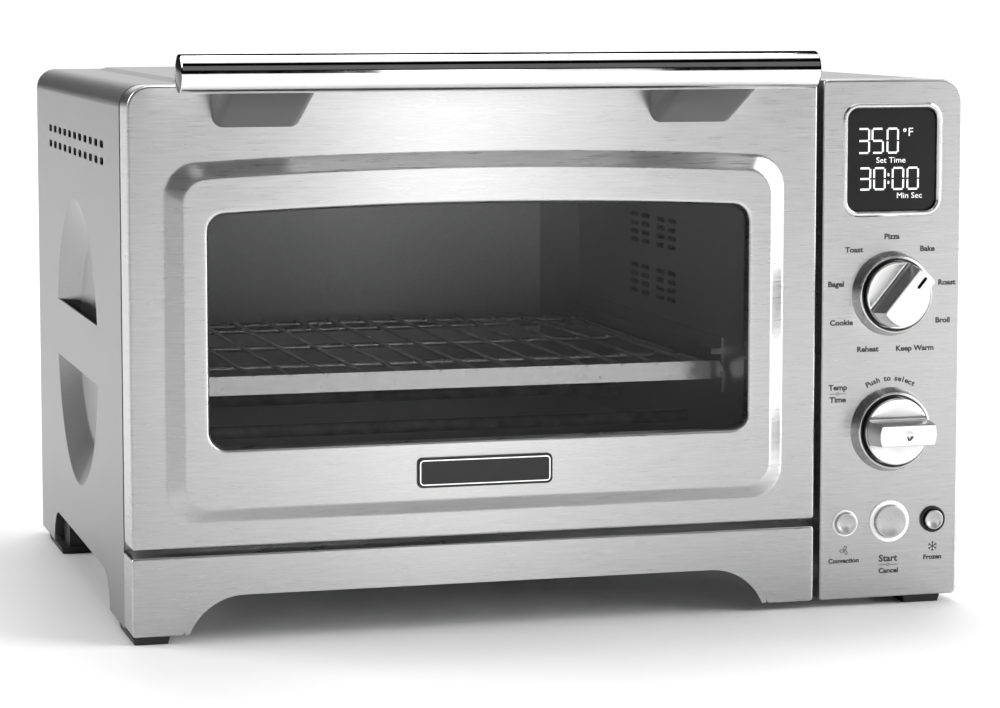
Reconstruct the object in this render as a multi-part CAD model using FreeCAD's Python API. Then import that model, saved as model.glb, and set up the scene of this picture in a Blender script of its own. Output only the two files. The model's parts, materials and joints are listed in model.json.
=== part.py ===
"""Countertop convection toaster oven with a drop-down door, in millimetres.

The drawing axes are x from the left side, y back from the front face and z up from the table.
save() moves every piece to the part's own frame: the origin is on the table, under the middle of
the oven's width and of its depth with the handle, x to the right, y to the back and z up.
"""

import FreeCAD, Part
import math
import os

os.makedirs("parts", exist_ok=True)
V = FreeCAD.Vector

# Overall size
BODY_W = 450.0
BODY_D = 352.0
BODY_TOP = 283.0
LEG_BOTTOM = 4.0
FRONT_DEPTH = 26.4
SHEET = 1.0
FACE_SHEET = 1.2
TOP_RADIUS = 11.5
EDGE_RADIUS = 1.2
TOP_RISE = 1.6

# Rear panel, set a little inside the casing and screwed to its flange
REAR_FACE = BODY_D - 1.5
REAR_SCREWS = [(x, z) for x in (8.0, BODY_W - 8.0) for z in (40.0, 150.0, 258.0)]
REAR_SCREWS += [(x, 275.0) for x in (150.0, 300.0)]
SCREW_R = 1.6
INLET_X = 404.0
INLET_Z = 60.0
INLET_BODY_R = 8.0
INLET_BORE_R = 4.2

# Door, skirt and control panel share the front face, y = 0
DOOR_W = 367.3
DOOR_BOTTOM = 48.6
DOOR_BACK = 23.8
SKIRT_TOP = 44.8
PANEL_LEFT = 370.7
DOOR_MID = DOOR_W / 2
RAISED = 4.5
GLASS_FRONT = -0.1
GLASS_T = 4.0

# Drop-down hinge of the door, a line along x
HINGE_Y = 7.0
HINGE_Z = 56.0
PIN_R = 2.5
PIN_CLEARANCE = 0.05
STAY_R = 60.0

# Handle, a tube in front of the door's top edge
HANDLE_R = 9.75
HANDLE_Y = -45.6
HANDLE_Z = 290.0
HANDLE_X = (18.3, 347.5)
BRACKETS = ((42.7, 88.5), (273.9, 319.7))

# Oven cavity, inside faces
CAV_X = (34.0, 333.0)
CAV_Z = (77.0, 243.0)
CAV_FRONT = 27.9
CAV_BACK = 318.0
BULGE_DEPTH = 20.0
RACK_Z = 126.0
HEATER_Y = (112.0, 242.0)
HEATER_Z = (91.0, 231.0)
HEATER_R = 3.5

# Feet, base plate and arches
BASE_Z = 24.5
ARCH_TOP = 23.7
LEG_ROUND = 3.0
ARCH_FLANGE = 5.0
FEET = (
    (0.4, 1.0, 18.8, 48.0),
    (0.4, 270.0, 18.8, 56.0),
    (419.8, 1.0, 21.0, 48.0),
    (419.8, 270.0, 21.0, 56.0),
)

# Round hand grip pressed into each side
GRIP_Y = 190.0
GRIP_Z = 134.0
GRIP_R = 80.0
GRIP_FLOOR_R = 56.0
GRIP_HOLE_R = GRIP_R + 4.0
GRIP_FLANGE = 10.5
BAND_Z = (119.4, 151.5)

# Controls on the panel
CONTROL_X = 410.4
FUNCTION_Z = 168.7
ADJUST_Z = 95.4
KNOB_R = 18.0
KNOB_BACK = -2.3
SHAFT_R = 3.0
BUTTON_Z = 45.5
BUTTONS = (
    ("convection_button", 384.9, 5.85, 7.0),
    ("start_button", CONTROL_X, 8.75, 11.25),
    ("frozen_button", 435.6, 5.2, 7.1),
)
BUTTON_GAP = 0.3
BUTTON_FACE = -3.2
DISH_DEPTH = 0.8
DISPLAY = (381.7, 438.5, 210.0, 270.8)

# Convection fan on the right wall of the cavity
FAN_Y = 172.0
FAN_Z = 160.0
FAN_R = 52.0
SHIELD_X = 356.0

# The handle reaches furthest forward and the rear panel furthest back
REACH = HANDLE_R - HANDLE_Y
ORIGIN = V(BODY_W / 2, (BODY_D - REACH) / 2, 0)


# Helpers ---------------------------------------------------------------------------------------


def save(name, solids):
    """Writes one node, a single solid or a group of separate ones, in the part's own frame."""
    shape = solids if isinstance(solids, Part.Shape) else Part.makeCompound(solids)
    moved = shape.copy()
    moved.translate(-ORIGIN)
    moved.exportStep(f"parts/{name}.step")


def box(x, y, z):
    """Box from three (low, high) pairs."""
    return Part.makeBox(x[1] - x[0], y[1] - y[0], z[1] - z[0], V(x[0], y[0], z[0]))


def rod(start, direction, radius, length):
    return Part.makeCylinder(radius, length, start, direction)


def along_x(x, y, z, radius):
    return rod(V(x[0], y, z), V(1, 0, 0), radius, x[1] - x[0])


def along_y(x, y, z, radius):
    return rod(V(x, y[0], z), V(0, 1, 0), radius, y[1] - y[0])


def ring_y(x, y, z, outer, inner):
    return along_y(x, y, z, outer).cut(along_y(x, y, z, inner))


def fuse(solids):
    joined = solids[0]
    for solid in solids[1:]:
        joined = joined.fuse(solid)
    return joined.removeSplitter()


def cut(solid, tools):
    for tool in tools:
        solid = solid.cut(tool)
    return solid


def mirrored(solid, x):
    return solid.mirror(V(x, 0, 0), V(1, 0, 0))


def wire_of(edges):
    return Part.Wire(Part.__sortEdges__(edges))


def rounded(points, radii, y=0.0):
    """Closed wire through (x, z) points at one y, with each corner rounded to its own radius."""
    corners = [V(x, y, z) for x, z in points]
    edges = []
    ends = []
    for index, (corner, radius) in enumerate(zip(corners, radii)):
        back = (corners[index - 1] - corner).normalize()
        onward = (corners[(index + 1) % len(corners)] - corner).normalize()
        half = back.getAngle(onward) / 2
        start = corner + back * (radius / math.tan(half))
        end = corner + onward * (radius / math.tan(half))
        if radius > 0:
            outward = (back + onward).normalize()
            crown = corner + outward * (radius / math.sin(half) - radius)
            edges.append(Part.Arc(start, crown, end).toShape())
        ends.append((start, end))
    for index, (_, leave) in enumerate(ends):
        edges.append(Part.makeLine(leave, ends[(index + 1) % len(ends)][0]))
    return wire_of(edges)


def outline(x, z, radii, y=0.0):
    """Rounded rectangle at one y; radii run bottom left, bottom right, top right, top left."""
    return rounded([(x[0], z[0]), (x[1], z[0]), (x[1], z[1]), (x[0], z[1])], radii, y)


def arched(x, z, crown, radius, y=0.0):
    """Rounded rectangle at one y whose top edge is a shallow arc that rises by crown at its middle."""
    mid = (x[0] + x[1]) / 2
    half = (x[1] - x[0]) / 2
    big = (half**2 + crown**2) / (2 * crown)
    big_z = z[1] - big
    corner_z = big_z + math.sqrt((big - radius) ** 2 - (half - radius) ** 2)
    lean = math.atan2(corner_z - big_z, half - radius)

    def corner(side, angle, centre_z):
        cx = mid + side * (half - radius)
        return V(cx + side * radius * math.cos(angle), y, centre_z + radius * math.sin(angle))

    low_z = z[0] + radius
    edges = [Part.Arc(corner(-1, lean, corner_z), V(mid, y, z[1]), corner(1, lean, corner_z)).toShape()]
    for side in (1, -1):
        top = [corner(side, lean * part, corner_z) for part in (1, 0.5, 0)]
        low = [corner(side, -math.pi / 2 * part, low_z) for part in (0, 0.5, 1)]
        edges.append(Part.Arc(*top).toShape())
        edges.append(Part.makeLine(top[2], low[0]))
        edges.append(Part.Arc(*low).toShape())
    edges.append(Part.makeLine(corner(-1, -math.pi / 2, low_z), corner(1, -math.pi / 2, low_z)))
    return wire_of(edges)


def prism(wire, depth):
    """Solid from a wire at one y, as deep in y as depth says."""
    return Part.Face(wire).extrude(V(0, depth, 0))


def grown(pair, by):
    return (pair[0] - by, pair[1] + by)


def slot_row(x, y, z, length, height, count, pitch):
    """Row of rounded slots cut through x, spaced in y."""
    slots = []
    for index in range(count):
        y_mid = y + index * pitch
        low = y_mid - (length - height) / 2
        high = y_mid + (length - height) / 2
        ends = [along_x(x, end, z, height / 2) for end in (low, high)]
        slots.append(fuse([box(x, (low, high), (z - height / 2, z + height / 2)), *ends]))
    return slots


def round_front(solid, radius):
    """Rounds the outer edge of a solid's front face, y = 0."""
    edges = [e for e in solid.Edges if max(abs(v.Y) for v in e.Vertexes) < 1e-6]
    return solid.makeFillet(radius, edges)


def revolve_y(profile, x, z):
    """Solid turned about the line along y through x and z; the profile is (radius, y) points."""
    points = [V(x + r, y, z) for r, y in profile]
    face = Part.Face(Part.makePolygon(points + points[:1]))
    return face.revolve(V(x, 0, z), V(0, 1, 0), 360)


# Casing ----------------------------------------------------------------------------------------


def grip_bowl(side_x, inward):
    """Thin pressed bowl of the hand grip, with a soft rim and crease; inward is +1 or -1 in x."""
    seen = [(0, 12.0), (GRIP_FLOOR_R, 10.0), (GRIP_R, 0), (GRIP_HOLE_R, 0)]
    back = [(GRIP_HOLE_R, SHEET), (GRIP_R + 0.2, SHEET), (GRIP_FLOOR_R + 0.2, 10 + SHEET), (0, 12 + SHEET)]
    wire = rounded(seen + back, (0, 9, 3, 0, 0, 2, 10, 0))
    bowl = Part.Face(wire).revolve(V(0, 0, 0), V(0, 0, 1), 360)
    bowl.rotate(V(0, 0, 0), V(0, 1, 0), 90 * inward)
    bowl.translate(V(side_x, GRIP_Y, GRIP_Z))
    return bowl


def grip_band(side_x, inward):
    """Flush strip across the bowl, with a flange turned in along its lower edge."""
    strip_x = sorted((side_x, side_x + inward * SHEET))
    flange_x = sorted((side_x, side_x + inward * GRIP_FLANGE))
    disc = along_x(strip_x, GRIP_Y, GRIP_Z, GRIP_R + 1)
    strip = disc.common(box(strip_x, (0, BODY_D), BAND_Z))
    half = GRIP_FLOOR_R - 2
    flange = box(flange_x, (GRIP_Y - half, GRIP_Y + half), (BAND_Z[0], BAND_Z[0] + SHEET))
    return strip.fuse(flange)


def arch_wire(span, radius, grow):
    """Opening between two legs, whose inner bottom corners are rounded."""
    x = grown(span, grow)
    top = ARCH_TOP + grow
    round_r = max(LEG_ROUND - grow, 0.1)
    right = [(x[1], top), (x[1], LEG_BOTTOM), (x[1] + 9, LEG_BOTTOM), (x[1] + 9, -30.0)]
    left = [(x[0] - 9, -30.0), (x[0] - 9, LEG_BOTTOM), (x[0], LEG_BOTTOM), (x[0], top)]
    return rounded(right + left, (radius + grow, round_r, 0, 0, 0, 0, round_r, radius + grow))


def side_arch(x, grow):
    """Opening under one side, between the front leg and the rear leg, cut through x."""
    tool = Part.Face(arch_wire((76.5, 297.5), 20.5, grow)).extrude(V(0, x[0] - x[1], 0))
    tool.rotate(V(0, 0, 0), V(0, 0, 1), 90)
    tool.translate(V(x[0], 0, 0))
    return tool


def arch_flange(side_x, inward):
    """Edge of the side's arch, turned in up to the base plate."""
    x = sorted((side_x, side_x + inward * ARCH_FLANGE))
    lining = side_arch(x, BASE_Z - ARCH_TOP).cut(side_arch(grown(x, 1.0), 0.0))
    return lining.common(box(x, (0, BODY_D), (LEG_BOTTOM + LEG_ROUND, BODY_TOP)))


def top_block(inset, z):
    """Low block with a bevelled edge, for the field pressed up out of the casing's top."""
    wires = []
    for height, step in ((0.0, 0.0), (TOP_RISE, 5.0)):
        x = grown((32.0, 388.0), -inset - step)
        back_to_front = grown((-330.0, -45.0), -inset - step)
        wires.append(outline(x, back_to_front, (14 - step,) * 4, height))
    block = Part.makeLoft(wires, True, True)
    block.rotate(V(0, 0, 0), V(1, 0, 0), 90)
    block.translate(V(0, 0, z))
    return block


def rear_flange():
    """Edge of the casing turned in behind the rear panel, on three sides."""
    y = REAR_FACE - 2 * SHEET
    whole = prism(outline((0.5, BODY_W - 0.5), (26.0, BODY_TOP - 0.5), (0, 0, 11, 11), y), SHEET)
    middle = box((14, BODY_W - 14), grown((y, y), 2), (20, BODY_TOP - 14))
    return cut(whole, [middle, *rear_holes((y - 1, y + 2))])


def outer_shell():
    depth = BODY_D - FRONT_DEPTH
    outside = outline((0, BODY_W), (LEG_BOTTOM, BODY_TOP), (0, 0, TOP_RADIUS, TOP_RADIUS), FRONT_DEPTH)
    inside = outline(
        (SHEET, BODY_W - SHEET),
        (LEG_BOTTOM - 1, BODY_TOP - SHEET),
        (0, 0, TOP_RADIUS - SHEET, TOP_RADIUS - SHEET),
        FRONT_DEPTH,
    )
    shell = prism(outside, depth).cut(prism(inside, depth))
    for side_x, inward in ((0.0, 1), (BODY_W, -1)):
        wall = sorted((side_x - inward, side_x + 2 * inward * SHEET))
        slots = [s for z in (241.0, 250.0) for s in slot_row(wall, 87.6, z, 12.0, 4.0, 11, 20.3)]
        hole = along_x(wall, GRIP_Y, GRIP_Z, GRIP_HOLE_R)
        shell = cut(shell, slots + [side_arch(wall, 0.0), hole])
        for pressing in (grip_bowl(side_x, inward), grip_band(side_x, inward), arch_flange(side_x, inward)):
            shell = shell.fuse(pressing)
    raised = top_block(0.0, BODY_TOP)
    hollow = top_block(SHEET, BODY_TOP - SHEET)
    return shell.fuse(rear_flange()).fuse(raised).cut(hollow).removeSplitter()


def base_plate():
    z = (BASE_Z, BASE_Z + SHEET)
    plate = box((2.0, BODY_W - 2), (26.5, REAR_FACE - 2 * SHEET), z)
    tongues = [box(x, (2.0, 26.5), z) for x in ((2.0, DOOR_W - 2), (PANEL_LEFT + 2, BODY_W - 2))]
    vents = [
        box((x, x + 5), (y, y + 40), (BASE_Z - 1, BASE_Z + 2))
        for x in range(60, 320, 20)
        for y in (90, 220)
    ]
    return cut(fuse([plate, *tongues]), vents)


def rear_holes(y):
    return [along_y(x, y, z, SCREW_R) for x, z in REAR_SCREWS]


def rear_panel():
    y = (REAR_FACE - SHEET, REAR_FACE)
    sheet = prism(
        outline((SHEET, BODY_W - SHEET), (LEG_BOTTOM + 16, BODY_TOP - SHEET), (2, 2, 10.5, 10.5), y[0]),
        SHEET,
    )
    vents = [
        box((x, x + 4), (y[0] - 1, y[1] + 1), (z, z + 26))
        for x in [*range(60, 310, 12), *range(368, 430, 12)]
        for z in (214, 60)
        if not (x > 350 and z == 60)
    ]
    inlet = along_y(INLET_X, grown(y, 1), INLET_Z, INLET_BODY_R)
    return cut(sheet, vents + rear_holes(grown(y, 1)) + [inlet])


def cord_inlet():
    """Strain relief bush in the rear panel, flanged on both sides of the sheet."""
    y = REAR_FACE
    profile = [(INLET_BORE_R, y - 12), (7.5, y - 12), (9.5, y - SHEET - 1.5), (9.5, y - SHEET)]
    profile += [(INLET_BODY_R, y - SHEET), (INLET_BODY_R, y), (9.5, y), (8.8, BODY_D - 0.1)]
    profile += [(INLET_BORE_R, BODY_D - 0.1)]
    return revolve_y(profile, INLET_X, INLET_Z)


def front_frame():
    """Sheet round the mouth of the cavity, with a slot on each side for the door's stay arm."""
    y = (26.9, CAV_FRONT)
    sheet = prism(outline((1.2, PANEL_LEFT + 8), (26.0, BODY_TOP - 1.2), (0, 0, 1, 10), y[0]), SHEET)
    mouth = box(CAV_X, (y[0] - 1, y[1] + 1), CAV_Z)
    left_slot = box((22.5, 27.5), (y[0] - 1, y[1] + 1), (104.0, 120.0))
    return cut(sheet, [mouth, left_slot, mirrored(left_slot, DOOR_MID)])


def hollow_front(x, z, radii, depth):
    """Pressed front cover: a face with returns all round and an open back."""
    outside = round_front(prism(outline(x, z, radii), depth), EDGE_RADIUS)
    core_radii = [max(r - FACE_SHEET, 0.3) for r in radii]
    core = outline(grown(x, -FACE_SHEET), grown(z, -FACE_SHEET), core_radii, FACE_SHEET)
    return outside.cut(prism(core, depth))


def front_skirt():
    depth = FRONT_DEPTH - 0.4
    cover = hollow_front((0, DOOR_W), (LEG_BOTTOM, SKIRT_TOP), (2, 2, 2, 2), depth)
    arch = prism(arch_wire((26.8, 340.5), 31.2, 0.0), 40)
    arch.translate(V(0, -5, 0))
    floor = box((FACE_SHEET, DOOR_W - FACE_SHEET), (FACE_SHEET, 30.0), (0.0, BASE_Z - 0.5))
    return cut(cover, [arch, floor])


def control_panel():
    depth = FRONT_DEPTH - 0.4
    x = (PANEL_LEFT, BODY_W)
    cover = hollow_front(x, (LEG_BOTTOM, BODY_TOP), (2, 3, TOP_RADIUS, 2), depth)
    through = (-1.0, FACE_SHEET + 1)
    holes = [along_y(CONTROL_X, through, z, 4.0) for z in (FUNCTION_Z, ADJUST_Z)]
    holes += [along_y(bx, through, BUTTON_Z, ring_r - 0.8) for _, bx, _, ring_r in BUTTONS]
    window = outline(grown(DISPLAY[:2], -1.0), grown(DISPLAY[2:], -1.0), (8, 8, 8, 8), -1.0)
    open_floor = box((x[0] + 8, x[1] - 8), (FACE_SHEET + 1, 40.0), (0.0, LEG_BOTTOM + 3))
    return cut(cover, [*holes, prism(window, FACE_SHEET + 2), open_floor])


def feet():
    """Rubber feet: a tapered pad under the leg and a block up to the base plate, clear of the flanges."""
    solids = []
    for x, y, width, length in FEET:
        pads = []
        for z, inset in ((0.0, 0.9), (LEG_BOTTOM - 0.2, 0.0)):
            pad_x = grown((x, x + width), -inset)
            pad_y = grown((y, y + length), -inset)
            corners = [V(pad_x[i], pad_y[j], z) for i, j in ((0, 0), (1, 0), (1, 1), (0, 1))]
            pads.append(Part.makePolygon(corners + corners[:1]))
        block_x = (max(x + 1, ARCH_FLANGE + 0.6), x + width - 1)
        block = box(block_x, (y + 2, y + length - 2), (1.0, BASE_Z))
        solids.append(fuse([Part.makeLoft(pads, True, True), block]))
    return solids


# Cavity ----------------------------------------------------------------------------------------


def heater_holes(x):
    return [along_x(x, y, z, HEATER_R + 0.4) for y in HEATER_Y for z in HEATER_Z]


def cavity_walls():
    y = (CAV_FRONT, CAV_BACK)
    z = grown(CAV_Z, SHEET)
    left = (CAV_X[0] - SHEET, CAV_X[0])
    right = (CAV_X[1], CAV_X[1] + SHEET)
    save("cavity_left_wall", cut(box(left, y, z), heater_holes(grown(left, 1))))
    slots = []
    for first_y in (FAN_Y - 34, FAN_Y + 14):
        for row_z in (FAN_Z - 36, FAN_Z - 6, FAN_Z + 24):
            for step in range(4):
                slots += slot_row(grown(right, 1), first_y, row_z + 5 * step, 14.0, 2.6, 2, 20.0)
    save("cavity_right_wall", cut(box(right, y, z), heater_holes(grown(right, 1)) + slots))
    save("cavity_top", box(CAV_X, y, (CAV_Z[1], CAV_Z[1] + SHEET)))
    save("cavity_floor", box(CAV_X, y, (CAV_Z[0] - SHEET, CAV_Z[0])))


def bulge(grow, z):
    """Solid behind the flat back wall, bounded by a wide arc in plan."""
    mid = (CAV_X[0] + CAV_X[1]) / 2
    half = 124.0 + grow
    ends = (V(mid - half, CAV_BACK, z[0]), V(mid + half, CAV_BACK, z[0]))
    crown = V(mid, CAV_BACK + BULGE_DEPTH + grow, z[0])
    wire = Part.Wire([Part.Arc(ends[0], crown, ends[1]).toShape(), Part.makeLine(ends[1], ends[0])])
    return Part.Face(wire).extrude(V(0, 0, z[1] - z[0]))


def cavity_back_wall():
    sheet = box(grown(CAV_X, SHEET), (CAV_BACK, CAV_BACK + SHEET), grown(CAV_Z, SHEET))
    inner_z = grown(CAV_Z, -10)
    return sheet.fuse(bulge(SHEET, grown(inner_z, SHEET))).cut(bulge(0.0, inner_z))


def rack_guides():
    """One channel strip on each side wall: the rack's side rods run between its two ribs."""
    strip = box((CAV_X[0], CAV_X[0] + 1), (50, 308), (112, 142))
    lower = box((CAV_X[0], CAV_X[0] + 7), (50, 308), (120.6, 123.6))
    upper = box((CAV_X[0], CAV_X[0] + 7), (50, 308), (133.0, 136.0))
    left = fuse([strip, lower, upper])
    return [left, mirrored(left, sum(CAV_X) / 2)]


def heaters(level):
    x = (CAV_X[0] - 9, CAV_X[1] + 9)
    return [along_x(x, y, HEATER_Z[level], HEATER_R) for y in HEATER_Y]


def heater_insulators():
    solids = []
    for x in ((CAV_X[0] - 7, CAV_X[0] - SHEET), (CAV_X[1] + SHEET, CAV_X[1] + 7)):
        for y in HEATER_Y:
            for z in HEATER_Z:
                solids.append(along_x(x, y, z, 6.5).cut(along_x(x, y, z, HEATER_R)))
    return solids


def temperature_probe():
    y = 300.0
    z = 234.0
    stem = along_x((CAV_X[1] - 30, CAV_X[1]), y, z, 2.0)
    flange = along_x((CAV_X[1] - 2, CAV_X[1]), y, z, 7.0)
    return fuse([stem, flange])


def wire_rack():
    """Chromed rack: a flat front rail, side rods, a rear rod bowed like the back wall, and wires."""
    x = (38.0, 329.0)
    mid = sum(x) / 2
    reach = (x[1] - x[0]) / 2
    rod_r = 2.0
    wire_r = 1.25
    wire_z = RACK_Z + rod_r + wire_r - 0.3
    corner_y = 310.0
    bow = 17.0
    curve_r = (reach**2 + bow**2) / (2 * bow)
    centre = V(mid, corner_y + bow - curve_r, RACK_Z)
    half_turn = math.degrees(math.asin(reach / curve_r))
    rear = Part.makeTorus(curve_r, rod_r, V(0, 0, 0), V(0, 0, 1), 0, 360, 2 * half_turn)
    rear.rotate(V(0, 0, 0), V(0, 0, 1), 90 - half_turn)
    rear.translate(centre)
    rail = box(x, (44.2, 45.8), (120.3, 130.2))
    sides = [along_y(side, (44.6, corner_y), RACK_Z, rod_r) for side in x]
    corners = [Part.makeSphere(rod_r, V(side, corner_y, RACK_Z)) for side in x]
    cross = [along_x(x, y, RACK_Z + 0.4, 1.6) for y in (110.0, 200.0, 290.0)]
    wires = []
    for index in range(14):
        wire_x = 52.1 + 20.2 * index
        end = centre.y + math.sqrt(curve_r**2 - (wire_x - mid) ** 2)
        wires.append(along_y(wire_x, (43.4, end), wire_z, wire_r))
    return fuse([rail, rear, *sides, *corners, *cross, *wires])


def crumb_tray():
    """Shallow tray on the cavity floor with a turned-up lip all round."""
    x = (36.0, 331.0)
    y = (31.0, 312.0)
    z = (77.6, 83.6)
    hollow = box(grown(x, -0.8), grown(y, -0.8), (z[0] + 0.8, z[1] + 1))
    grip = box((sum(x) / 2 - 40, sum(x) / 2 + 40), (y[0] - 1.2, y[0]), (z[0] + 1, z[1] + 2.5))
    return fuse([box(x, y, z).cut(hollow), grip])


# Control bay -----------------------------------------------------------------------------------


def heat_shield():
    sheet = box((SHIELD_X, SHIELD_X + SHEET), (28.5, 345), (26.5, 279))
    return sheet.cut(along_x((SHIELD_X - 1, SHIELD_X + 3), FAN_Y, FAN_Z, 6.0))


def fan_housing():
    """Shallow drum over the slots in the cavity wall, with the motor shaft's hole in its end."""
    x = (CAV_X[1] + SHEET, SHIELD_X - 2)
    drum = along_x(x, FAN_Y, FAN_Z, FAN_R + 10)
    hollow = along_x((x[0] - 1, x[1] - 0.8), FAN_Y, FAN_Z, FAN_R + 9.2)
    return cut(drum, [hollow, along_x(grown(x, 1), FAN_Y, FAN_Z, 5.0)])


def blade(radius, hub, x, thickness, lean):
    """One flat blade of a fan turning about x, set at an angle to the radius."""
    solid = box(x, (-thickness / 2, thickness / 2), (hub - 1, radius))
    solid.rotate(V(x[0], 0, hub), V(1, 0, 0), lean)
    solid.translate(V(0, FAN_Y, FAN_Z))
    return solid


def wheel(x, radius, hub, count, plate_t, lean):
    """Fan wheel: a back plate, a hub with the shaft's bore and blades spaced evenly round it."""
    plate = along_x((x[1] - plate_t, x[1]), FAN_Y, FAN_Z, radius)
    boss = along_x((x[1] - 8, x[1]), FAN_Y, FAN_Z, hub)
    blades = []
    for index in range(count):
        one = blade(radius - 3, hub + 6, (x[0], x[1]), 1.2, lean)
        one.rotate(V(0, FAN_Y, FAN_Z), V(1, 0, 0), index * 360 / count)
        blades.append(one)
    return fuse([plate, boss, *blades]).cut(along_x(grown(x, 1), FAN_Y, FAN_Z, SHAFT_R))


def motor_shaft():
    return along_x((CAV_X[1] + 8, 404.0), FAN_Y, FAN_Z, SHAFT_R)


def fan_motor():
    """Shaded-pole motor: a square stack of laminations with its coil below."""
    stack = box((366, 384), grown((FAN_Y, FAN_Y), 27), (FAN_Z - 44, FAN_Z + 25))
    coil = box((361, 389), grown((FAN_Y, FAN_Y), 14), (FAN_Z - 42, FAN_Z - 20))
    frames = [
        box((363, 366), grown((FAN_Y, FAN_Y), 8), (FAN_Z - 12, FAN_Z + 22)),
        box((384, 387), grown((FAN_Y, FAN_Y), 8), (FAN_Z - 12, FAN_Z + 22)),
    ]
    bore = along_x((355, 395), FAN_Y, FAN_Z, SHAFT_R + PIN_CLEARANCE)
    return fuse([stack, coil, *frames]).cut(bore)


def motor_mount():
    """Four posts that carry the motor off the heat shield."""
    posts = [(FAN_Y + dy, FAN_Z + dz) for dy in (-22, 22) for dz in (-38, 20)]
    return [along_x((SHIELD_X + SHEET, 366), y, z, 3.0) for y, z in posts]


def power_board():
    """Power board on the heat shield with its relays, capacitor and transformer."""
    board = box((358.6, 360.2), (230, 325), (60, 200))
    relays = [box((360.2, 376), (y, y + 18), (165, 190)) for y in (238, 262, 286)]
    transformer = box((360.2, 386), (245, 285), (90, 130))
    capacitor = along_x((360.2, 382), 306, 140, 9)
    stands = [along_x((SHIELD_X + SHEET, 358.6), y, z, 3) for y in (236, 319) for z in (66, 194)]
    return fuse([board, *relays, transformer, capacitor, *stands])


def display_bezel():
    x, z = DISPLAY[:2], DISPLAY[2:]
    flange = prism(outline(x, z, (9, 9, 9, 9), -0.9), 0.9)
    body = prism(outline(grown(x, -1.1), grown(z, -1.1), (8, 8, 8, 8)), 6.0)
    opening = prism(outline(grown(x, -3), grown(z, -3), (7, 7, 7, 7), -2.0), 10.0)
    return fuse([flange, body]).cut(opening)


def display_lens():
    wire = outline(grown(DISPLAY[:2], -3), grown(DISPLAY[2:], -3), (7, 7, 7, 7), 1.6)
    return prism(wire, 2.0)


def display_module():
    screen = box(grown(DISPLAY[:2], -6.5), (3.8, 8.0), grown(DISPLAY[2:], -6.5))
    board = box((376, 445), (8.0, 9.6), (204, 274))
    return fuse([screen, board])


def control_board():
    board = box((374, 446.5), (20.6, 22.2), (76, 196))
    chip = box((380, 394), (22.2, 24), (120, 134))
    coil = box((425, 438), (22.2, 25), (150, 166))
    return fuse([board, chip, coil])


def collar(z):
    """Raised ring round a knob; its floor has a hole for the encoder's bush."""
    profile = [(4.0, 0), (22.8, 0), (22.2, -1.6), (20.6, -6.8), (20.0, -7.1), (19.4, -6.8)]
    profile += [(19.4, -0.9), (4.0, -0.9)]
    return revolve_y(profile, CONTROL_X, z)


def encoder(z, hollow):
    """Rotary encoder: a square body and a threaded bush through the panel."""
    body = box(grown((CONTROL_X, CONTROL_X), 7), (4.0, 20.6), (z - 7, z + 7))
    bush = along_y(CONTROL_X, (-1.0, 4.0), z, 4.0)
    nut = Part.makePolygon([
        V(CONTROL_X + 7 * math.cos(math.radians(60 * k)), FACE_SHEET, z + 7 * math.sin(math.radians(60 * k)))
        for k in range(7)
    ])
    whole = fuse([body, bush, prism(nut, 2.8)])
    bore = along_y(CONTROL_X, (-2.0, 14.0), z, SHAFT_R + PIN_CLEARANCE)
    if hollow:
        bore = bore.fuse(along_y(CONTROL_X, (13.0, 19.6), z, 5.0))
    return whole.cut(bore)


def rim_edges(solid, y):
    """Round edges that lie at one y."""
    return [e for e in solid.Edges if len(e.Vertexes) == 1 and abs(e.Vertexes[0].Y - y) < 1e-6]


def dished(solid, x, y, z, radius):
    """Hollows a shallow round dish into a front face at y."""
    ball_r = (radius**2 + DISH_DEPTH**2) / (2 * DISH_DEPTH)
    return solid.cut(Part.makeSphere(ball_r, V(x, y + DISH_DEPTH - ball_r, z)))


def knob(z, turn, dish_r):
    """Round knob with a tall grip bar; turn is clockwise from upright, in degrees; dish_r 0 is no dish."""
    face = -10.6
    tip = -26.0
    disc = along_y(CONTROL_X, (face, KNOB_BACK), z, KNOB_R)
    disc = disc.makeFillet(0.8, rim_edges(disc, face))

    def section(y, half_w, half_l):
        return outline((CONTROL_X - half_w, CONTROL_X + half_w), (z - half_l, z + half_l), (1.5,) * 4, y)

    bar = Part.makeLoft([section(face, 6.4, 18.5), section(tip, 5.75, 15.2)], True, True)
    bar = bar.common(along_y(CONTROL_X, (tip, face), z, KNOB_R - 0.2))
    bar.rotate(V(CONTROL_X, 0, z), V(0, 1, 0), turn)
    body = fuse([disc, bar])
    if dish_r > 0:
        body = dished(body, CONTROL_X, tip, z, dish_r)
    socket = along_y(CONTROL_X, (-14.0, 0.0), z, SHAFT_R)
    relief = along_y(CONTROL_X, (KNOB_BACK - 1.6, 0.0), z, 6.0)
    return cut(body, [socket, relief])


def button(x, radius):
    """Dished push button with a stem behind it that reaches its switch."""
    cap = along_y(x, (BUTTON_FACE, 4.0), BUTTON_Z, radius)
    cap = cap.makeFillet(0.4, rim_edges(cap, BUTTON_FACE))
    cap = dished(cap, x, BUTTON_FACE, BUTTON_Z, radius - 0.6)
    return fuse([cap, along_y(x, (4.0, 8.0), BUTTON_Z, 2.5)])


def button_rings():
    rings = []
    for _, x, radius, ring_r in BUTTONS:
        lip = ring_y(x, (-1.2, 0.0), BUTTON_Z, ring_r, radius + BUTTON_GAP)
        sleeve = ring_y(x, (0.0, 4.5), BUTTON_Z, ring_r - 0.8, radius + BUTTON_GAP)
        rings.append(fuse([lip, sleeve]))
    return rings


def button_board():
    board = box((374, 446.5), (13.0, 14.6), (34, 58))
    switches = [box((x - 3, x + 3), (9.6, 13.0), (BUTTON_Z - 3, BUTTON_Z + 3)) for _, x, _, _ in BUTTONS]
    return fuse([board, *switches])


# Door ------------------------------------------------------------------------------------------

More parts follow.
